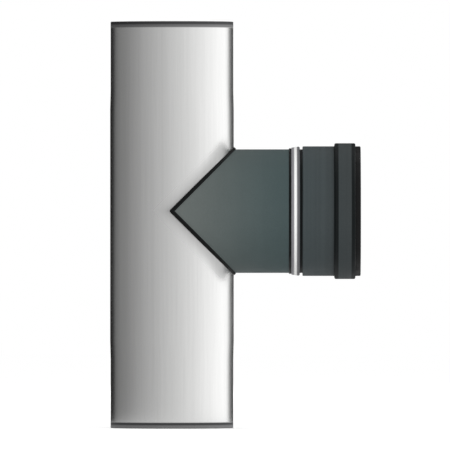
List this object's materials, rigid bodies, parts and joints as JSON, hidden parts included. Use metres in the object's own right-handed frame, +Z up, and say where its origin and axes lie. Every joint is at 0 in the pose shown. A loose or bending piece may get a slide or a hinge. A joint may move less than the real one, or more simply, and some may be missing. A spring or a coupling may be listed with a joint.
{
  "type": "stove pipe tee",
  "caption": "Equal 90 degree flue tee: plain bright steel run with drawn-in plug ends, dark mitred branch of the same diameter, and a beaded socket with a seal.",
  "frame": {"origin": "middle of the run's lower end, on the run's axis", "axes": "+Z up the run, +X along the branch towards its socket, +Y completes a right-handed set"},
  "size_m": [0.1633, 0.0886, 0.265],
  "materials": {
    "bright_steel": "fine brushed along the pipe",
    "seam_steel": "planed weld",
    "dark_enamel": "satin heat-proof enamel",
    "collar_enamel": "satin heat-proof enamel",
    "weld_black": "enamelled weld bead",
    "white_ring": "smooth heat-proof sealing ring",
    "black_seal": "silicone"
  },
  "bodies": {
    "root": {"run_tube": "bright_steel", "run_seam_weld": "seam_steel", "branch_tube": "dark_enamel", "branch_seam_weld": "dark_enamel", "saddle_weld": "weld_black", "ring_stop": "weld_black", "joint_ring": "white_ring", "socket_collar": "collar_enamel", "collar_weld": "weld_black", "mouth_seal": "black_seal"}
  },
  "joints": []
}
